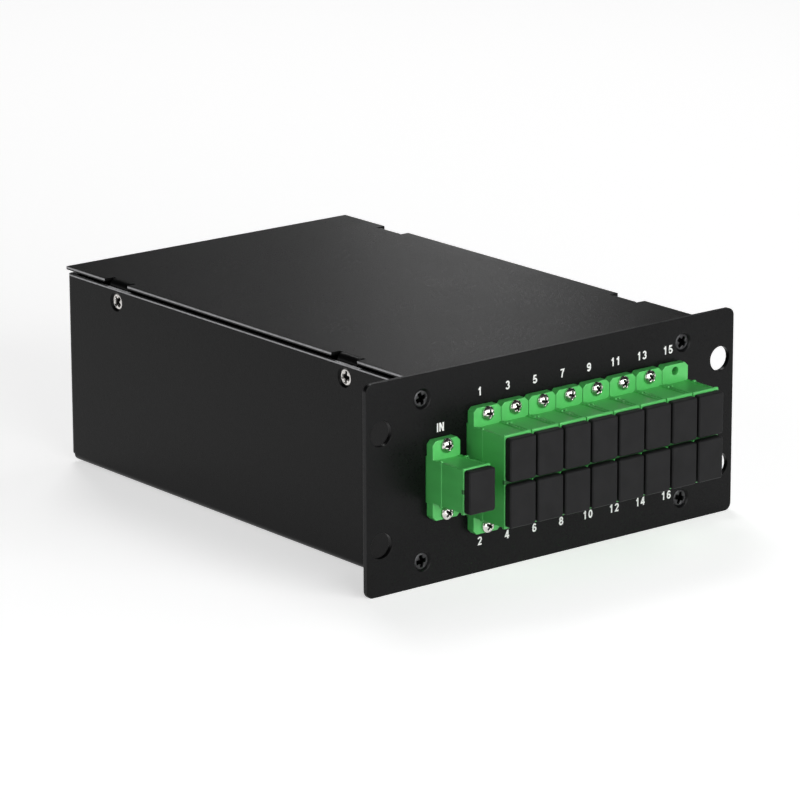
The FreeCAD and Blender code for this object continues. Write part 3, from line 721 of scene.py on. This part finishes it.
@dataclass
class Screw:
    """A screw with a cross recess and a rolled thread, its head facing +Z, in millimetres."""

    head_d: float
    shank_d: float
    length: float
    cross: float
    dome: float = 0.0
    rim: float = 0.0
    cone: float = 0.0
    slot: float = 0.62
    depth: float = 1.0
    crown: float = 2.6
    sunk: float = 0.0
    pitch: float = 0.45
    thread: float = 0.16
    columns: int = 48

    def recess(self, x: np.ndarray, y: np.ndarray) -> np.ndarray:
        """Depth of the cross recess: two tapered slots that deepen towards the middle.

        A slot is deep where |across| < slot / 2, with a short soft wall, and its floor rises
        from the middle to nothing at |along| = cross / 2.

        Args:
            x: positions across the head.
            y: positions up the head.

        Returns:
            The depth at each position.
        """
        def ramp(value: np.ndarray, width: float) -> np.ndarray:
            """0 below 0, 1 above width, straight between."""
            return np.clip(value / width, 0.0, 1.0)

        def wing(along: np.ndarray, across: np.ndarray) -> np.ndarray:
            """Share of the depth in one slot."""
            side = ramp(self.slot / 2 - np.abs(across), 0.1)
            return side * ramp(self.cross / 2 - np.abs(along), self.cross * 0.22)

        return self.depth * np.maximum(wing(x, y), wing(y, x))

    def skin(self) -> tuple[np.ndarray, list[list[int]], np.ndarray]:
        """The screw as one closed skin over radius and angle.

        The head is z = dome (1 - (r / R)^crown) + rim - recess, the shank is
        r = d / 2 - thread |saw(z / pitch - angle / tau)|, and the tip is a short cone.

        Returns:
            The vertices, the faces and each vertex's depth in the recess from 0 to 1.
        """
        radius, root = self.head_d / 2, self.shank_d / 2
        angle = np.linspace(0, math.tau, self.columns, endpoint=False)[None, :]
        across = np.linspace(0, 1, 24)[:, None] ** 0.9
        r_head = np.broadcast_to(radius * across, (24, self.columns))
        x, y = r_head * np.cos(angle), r_head * np.sin(angle)
        sunk = self.recess(x, y)
        z_head = self.rim + self.dome * (1 - (r_head / radius) ** self.crown) - sunk
        head = np.stack([x, y, z_head], -1)
        low = -self.cone
        steps = np.arange(low - 0.1, low - (self.length - self.cone) + 0.5, -self.pitch / 4)[:, None]
        saw = np.abs((steps / self.pitch - angle / math.tau) % 1.0 - 0.5) * 2
        fade = np.clip((low - steps) / 0.4, 0, 1)
        r_shank = root - self.thread * saw * fade
        neck = np.full((2, self.columns), radius)
        neck[1] = root
        z_neck = np.array([[0.0], [low]]) + 0 * angle
        tip_r = np.array([[root - self.thread], [0.0]]) + 0 * angle
        tip_z = np.array([[steps[-1, 0] - 0.2], [-self.length]]) + 0 * angle
        r = np.concatenate([neck, r_shank, tip_r])
        z = np.concatenate([z_neck, steps + 0 * angle, tip_z])
        shank = np.stack([r * np.cos(angle), r * np.sin(angle), z], -1)
        vertices, faces = closed_skin(np.concatenate([head, shank]))
        hollow = np.zeros(len(vertices))
        hollow[: 1 + 23 * self.columns] = np.concatenate([sunk[:1, 0], sunk[1:].ravel()]) / self.depth
        return vertices, faces, hollow


@dataclass
class Screws:
    """All the screws that the cassette shows, each group one piece."""

    pan: Screw = field(default_factory=lambda: Screw(
        head_d=3.9, shank_d=2.0, length=6.5, cross=2.5, dome=0.85, rim=0.6, slot=0.7))
    countersunk: Screw = field(default_factory=lambda: Screw(
        head_d=4.6, shank_d=2.9, length=5.5, cross=3.5, dome=0.16, crown=7.0, rim=0.02, cone=0.85,
        slot=1.15, depth=1.5, sunk=0.62))
    single_pitch: float = 18.5
    duplex_pitch: float = 31.2
    flange_front: float = -4.1
    panel_front: float = -1.5
    panel_x: float = 46.1
    panel_z: float = 22.4
    side_x: float = 51.0
    side_z: float = 23.4
    side_y: tuple[float, float] = (25.65, 131.0)
    missing: str = "adapter_15_16"

    def adapter_places(self, shop: Workshop) -> np.ndarray:
        """Where the adapter screws' heads sit: two on each adapter's flange, less the missing one.

        Args:
            shop: the workshop.

        Returns:
            One point for each screw, in millimetres.
        """
        places = []
        for name in sorted(n for n in shop.nodes if n.startswith("adapter_") and n != "adapter_screws"):
            low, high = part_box(name)
            x = (low.x + high.x) / 2 / MM
            half = (self.single_pitch if name == "adapter_in" else self.duplex_pitch) / 2
            heights = (-half,) if name == self.missing else (-half, half)
            places += [(x, self.flange_front, z) for z in heights]
        return np.array(places)

    def turned(self, outward: Vector, count: int, seed: int) -> np.ndarray:
        """Matrices that face each screw outward with its cross at an angle of its own.

        Args:
            outward: the heads' direction.
            count: the number of screws.
            seed: fixes the angles.

        Returns:
            One 3 x 3 matrix for each screw.
        """
        spin = np.random.default_rng(seed).uniform(0, math.pi / 2, count)
        zero, one = np.zeros(count), np.ones(count)
        rows = [np.cos(spin), -np.sin(spin), zero, np.sin(spin), np.cos(spin), zero, zero, zero, one]
        return facing(outward) @ np.stack(rows, -1).reshape(-1, 3, 3)

    def build(self, shop: Workshop) -> None:
        """Makes the three groups of screws and lets each replace its node."""
        front = Vector((0, -1, 0))
        places = self.adapter_places(shop)
        groups = [("adapter_screws", self.pan, self.turned(front, len(places), 7), places)]
        corners = np.array([(i * self.panel_x, self.panel_front, j * self.panel_z) for i in (-1, 1) for j in (-1, 1)])
        groups.append(("panel_screws", self.countersunk, self.turned(front, 4, 3), corners))
        sides = [(i, y) for i in (-1, 1) for y in self.side_y]
        turns = np.concatenate([self.turned(Vector((i, 0, 0)), 2, 5 + i) for i in (-1, 1)])
        points = np.array([(i * self.side_x, y, self.side_z) for i, y in sides])
        groups.append(("cover_screws", self.countersunk, turns, points))
        for node, screw, matrices, shifts in groups:
            vertices, faces, hollow = screw.skin()
            vertices = vertices - (0.0, 0.0, screw.sunk)
            mesh = repeated(vertices, faces, hollow, matrices, shifts, node + ".turned")
            slot = shop.slots[node]
            shop.add(node + ".turned", mesh, shop.finish(slot), "cassette", slot, node)


# ---------------------------------------------------------------- sheet metal and mouldings


@dataclass
class SheetMetal:
    """Faceplate, tray and cover, with edges that the coat rounds."""

    panel_edge: float = 0.16
    sheet_edge: float = 0.12

    def build(self, shop: Workshop) -> None:
        """Replaces the three sheets by copies with rounded edges."""
        shop.rounded("front_panel", self.panel_edge, shop.coat(SheetEdge.PANEL))
        shop.rounded("base_tray", self.sheet_edge, shop.coat(SheetEdge.TRAY))
        shop.rounded("top_cover", self.sheet_edge, shop.coat(SheetEdge.COVER))


@dataclass
class Mouldings:
    """Adapters and dust caps, with the small rounds of moulded edges."""

    adapter_edge: float = 0.14
    cap_edge: float = 0.06

    def build(self, shop: Workshop) -> None:
        """Replaces each adapter and each cap by a copy with rounded edges."""
        for name in sorted(shop.nodes):
            if name.startswith("adapter_") and name != "adapter_screws":
                shop.rounded(name, self.adapter_edge, shop.finish("green_moulding"))
            elif name.startswith("dust_cap_"):
                shop.rounded(name, self.cap_edge, shop.finish("cap_moulding"))


@dataclass
class Inside:
    """What the case and the adapters hold."""

    def build(self, shop: Workshop) -> None:
        """Dresses every node that no piece replaces."""
        shown = [n for n in sorted(shop.nodes) if not shop.nodes[n].hide_render]
        shop.dress(*[n for n in shown if shop.slots[n] != "powder_coat" and n + ".rounded" not in bpy.data.objects
                     and n + ".turned" not in bpy.data.objects])


# ---------------------------------------------------------------- printed numbers


def bow(x: float, z: float, half_x: float, half_z: float, start: float, stop: float) -> np.ndarray:
    """Points of an elliptic arc: (x + a cos t, z + b sin t) from one angle to another.

    Args:
        x: the middle across.
        z: the middle up.
        half_x: a, half the width.
        half_z: b, half the height.
        start: first angle in degrees.
        stop: last angle in degrees.

    Returns:
        The points, one each 12 degrees or so.
    """
    count = max(3, int(abs(stop - start) / 12) + 1)
    t = np.radians(np.linspace(start, stop, count))
    return np.stack([x + half_x * np.cos(t), z + half_z * np.sin(t)], -1)


def strokes(letter: str) -> list[np.ndarray]:
    """Centre lines of one figure or letter in a box one unit high, drawn as plain bold print."""
    upright = np.array([(0.10, 0.0), (0.10, 1.0)])
    drawn: dict[str, list[Any]] = {
        "0": [bow(0.32, 0.5, 0.21, 0.40, 0, 360)],
        "1": [[(0.34, 0.0), (0.34, 1.0)], [(0.09, 0.70), (0.20, 0.75), (0.33, 0.90)]],
        "2": [np.concatenate([bow(0.32, 0.69, 0.21, 0.21, 172, -38), [(0.13, 0.10), (0.58, 0.10)]])],
        "3": [bow(0.31, 0.71, 0.19, 0.19, 165, -90), bow(0.31, 0.30, 0.22, 0.21, 90, -165)],
        "4": [[(0.42, 0.0), (0.42, 1.0)], [(0.37, 0.92), (0.08, 0.30), (0.60, 0.30)]],
        "5": [np.concatenate([[(0.52, 0.90), (0.18, 0.90), (0.13, 0.50)], bow(0.31, 0.32, 0.22, 0.23, 120, -165)])],
        "6": [bow(0.33, 0.31, 0.21, 0.22, 0, 360), bow(0.35, 0.48, 0.23, 0.42, 42, 180)],
        "7": [[(0.08, 0.90), (0.56, 0.90), (0.36, 0.50), (0.27, 0.0)]],
        "8": [bow(0.32, 0.71, 0.18, 0.19, 0, 360), bow(0.32, 0.30, 0.22, 0.21, 0, 360)],
        "9": [bow(0.31, 0.69, 0.21, 0.22, 0, 360), bow(0.29, 0.52, 0.23, 0.42, -138, 0)],
        "I": [upright],
        "N": [upright, upright + (0.46, 0.0), np.array([(0.13, 0.92), (0.53, 0.08)])],
    }
    return [np.array(line) for line in drawn[letter]]


def ribbon(line: np.ndarray, half: float, low: float, high: float) -> tuple[np.ndarray, list[list[int]]]:
    """A rectangle carried along a flat line: each point's two sides, below and above.

    The sides of point i are P(i) +- half * n(i), where n(i) is the mean of its two stretches'
    normals, lengthened at a corner so that the ribbon keeps its width.

    Args:
        line: the centre line, points x 2; it is a loop where both ends meet.
        half: half the ribbon's width.
        low: depth of its back.
        high: depth of its face.

    Returns:
        The vertices as across, up and out, and the faces.
    """
    loop = bool(np.allclose(line[0], line[-1]))
    line = line[:-1] if loop else line
    after = np.roll(line, -1, 0) - line
    ahead = after / np.linalg.norm(after, axis=1, keepdims=True)
    if not loop:
        ahead[-1] = ahead[-2]
    behind = np.roll(ahead, 1, 0)
    if not loop:
        behind[0] = ahead[0]
    mean = ahead + behind
    mean = mean / np.linalg.norm(mean, axis=1, keepdims=True)
    stretch = half / np.maximum((mean * ahead).sum(1, keepdims=True), 0.55)
    side = np.stack([-mean[:, 1], mean[:, 0]], -1) * stretch
    count = len(line)
    flat = np.stack([line + side, line - side, line - side, line + side], 1)
    out = np.broadcast_to(np.array([high, high, low, low])[None, :, None], (count, 4, 1))
    here = np.arange(count if loop else count - 1)[:, None] * 4
    there = (here + 4) % (4 * count)
    edge, after_edge = np.arange(4), (np.arange(4) + 1) % 4
    quads = np.stack([here + edge, here + after_edge, there + after_edge, there + edge], -1).reshape(-1, 4).tolist()
    last = 4 * (count - 1)
    ends = [] if loop else [[3, 2, 1, 0], [last, last + 1, last + 2, last + 3]]
    return np.concatenate([flat, out], -1).reshape(-1, 3), quads + ends


@dataclass
class PortNumbers:
    """White numbers printed on the faceplate, one beside each port, in millimetres."""

    height: float = 2.4
    stroke: float = 0.46
    ink: float = 0.02
    advance: float = 0.80
    narrow: float = 0.34
    upper_z: float = 21.15
    lower_z: float = -20.5
    input_z: float = 13.66
    shift_x: float = -0.4
    front: float = -1.5
    colour: Colour = (0.86, 0.86, 0.85)

    def word(self, text: str, x: float, z: float) -> list[tuple[np.ndarray, list[list[int]]]]:
        """One word as thin ribbons of ink, centred on a point of the faceplate.

        Args:
            text: the word.
            x: its middle, in millimetres.
            z: its middle's height, in millimetres.

        Returns:
            Vertices and faces of each stroke.
        """
        steps = [self.narrow if letter == "I" else self.advance for letter in text]
        start = x - sum(steps) * self.height / 2 + 0.07 * self.height
        parts = []
        for place, letter in enumerate(text):
            left = start + sum(steps[:place]) * self.height
            for order, line in enumerate(strokes(letter)):
                line_mm = line * self.height + (left, z - self.height / 2)
                flat, faces = ribbon(line_mm, self.stroke / 2, 0.0, self.ink + 0.002 * order)
                across, up, out = flat.T
                parts.append((np.stack([across, self.front - out, up], -1) * MM, faces))
        return parts

    def build(self, shop: Workshop) -> None:
        """Prints the input's word and the sixteen port numbers as one piece."""
        low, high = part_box("adapter_in")
        parts = self.word("IN", (low.x + high.x) / 2 / MM, self.input_z)
        for name in sorted(n for n in shop.nodes if n.startswith("adapter_") and n[-1].isdigit()):
            low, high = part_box(name)
            x = (low.x + high.x) / 2 / MM + self.shift_x
            odd, even = (str(int(part)) for part in name.split("_")[1:])
            parts += self.word(odd, x, self.upper_z) + self.word(even, x, self.lower_z)
        starts = np.cumsum([0] + [len(points) for points, _ in parts]).tolist()
        faces = [[index + start for index in face] for start, (_, own) in zip(starts, parts) for face in own]
        mesh = bpy.data.meshes.new("port_numbers")
        mesh.from_pydata(np.concatenate([points for points, _ in parts]).tolist(), [], faces)
        shop.add("port_numbers", mesh, Ink(self.colour).build("white_ink"), "cassette", "powder_coat")


# ---------------------------------------------------------------- studio


@dataclass
class Lamp:
    """A soft rectangular lamp on a dome over the cassette, in degrees, metres and watts."""

    name: str
    compass: float
    height: float
    distance: float
    size: tuple[float, float]
    watts: float
    aim: Colour = (0.0, 0.05, 0.0)

    def build(self) -> None:
        """Makes the lamp: compass runs from the rear over the right, height up from the floor."""
        light = bpy.data.lights.new(self.name, "AREA")
        light.shape = "RECTANGLE"
        light.size, light.size_y = self.size
        light.energy = self.watts
        turn, rise = math.radians(self.compass), math.radians(self.height)
        outward = Vector((math.sin(turn) * math.cos(rise), math.cos(turn) * math.cos(rise), math.sin(rise)))
        lamp = bpy.data.objects.new(self.name, light)
        lamp.location = Vector(self.aim) + outward * self.distance
        lamp.visible_camera = False
        lamp.rotation_euler = (-outward).to_track_quat("-Z", "Y").to_euler()
        bpy.context.scene.collection.objects.link(lamp)


@dataclass
class Studio:
    """Floor, lamps, surroundings and camera."""

    floor_z: float = -0.0293
    floor_half: float = 4.0
    camera_place: Colour = (-0.75998, -0.88632, 0.33915)
    camera_turn: Colour = (74.42048, 0.17242, -38.64876)
    lens: float = 202.106
    horizon: float = 0.35
    overhead: float = 0.015
    lamps: list[Lamp] = field(default_factory=lambda: [
        Lamp("key", 181, 14, 0.8, (0.90, 0.50), 6.5),
        Lamp("left", 250, 26, 0.9, (0.35, 0.35), 1.0),
        Lamp("right_top", 85, 42, 1.1, (0.40, 0.40), 1.1),
        Lamp("rear_top", 28, 50, 1.4, (0.50, 0.50), 5.5),
        Lamp("strip", 40.2, 10, 1.6, (0.14, 0.25), 0.16),
        Lamp("strip_faint", 35, 10, 1.6, (0.16, 0.25), 0.03),
    ])

    def floor(self) -> None:
        """Lays the floor as one flat square."""
        signs = ((-1, -1), (1, -1), (1, 1), (-1, 1))
        corners = [(i * self.floor_half, j * self.floor_half, self.floor_z) for i, j in signs]
        mesh = bpy.data.meshes.new("floor")
        mesh.from_pydata(corners, [], [(0, 1, 2, 3)])
        mesh.materials.append(StudioFloor().build("floor"))
        ground = bpy.data.objects.new("floor", mesh)
        bpy.context.scene.collection.objects.link(ground)

    def surroundings(self) -> None:
        """A room that is pale round the horizon and dim overhead."""
        graph = Graph(bpy.data.worlds.new("room"))
        heading = graph.node("ShaderNodeTexCoord", {}, {}).outputs["Generated"]
        split = graph.node("ShaderNodeSeparateXYZ", {}, {0: heading})
        level = graph.node(
            "ShaderNodeMapRange",
            {"interpolation_type": "SMOOTHSTEP"},
            {0: split.outputs[2], 1: 0.085, 2: 0.16, 3: self.horizon, 4: self.overhead},
        )
        glow = graph.node("ShaderNodeBackground", {}, {"Color": (1, 1, 1, 1), "Strength": level.outputs[0]})
        graph.node("ShaderNodeOutputWorld", {}, {"Surface": glow.outputs[0]})
        bpy.context.scene.world = graph.owner

    def camera(self) -> None:
        """Sets up the camera."""
        data = bpy.data.cameras.new("camera")
        data.lens = self.lens
        data.sensor_width = 36.0
        data.clip_start = 0.01
        eye = bpy.data.objects.new("camera", data)
        eye.location = self.camera_place
        eye.rotation_euler = tuple(math.radians(angle) for angle in self.camera_turn)
        bpy.context.scene.collection.objects.link(eye)
        bpy.context.scene.camera = eye

    def build(self) -> None:
        """Builds the whole studio."""
        bpy.context.scene.view_settings.view_transform = "Standard"
        self.floor()
        self.surroundings()
        self.camera()
        for lamp in self.lamps:
            lamp.build()
        log.info("studio ready with %d lamps", len(self.lamps))


def main() -> None:
    """Builds the studio and each sub-assembly in order."""
    logging.basicConfig(level=logging.INFO, format="%(message)s")
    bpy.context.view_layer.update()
    Studio().build()
    shop = Workshop(frame)
    SheetMetal().build(shop)
    Mouldings().build(shop)
    Screws().build(shop)
    PortNumbers().build(shop)
    Inside().build(shop)


if __name__ == "__main__":
    main()
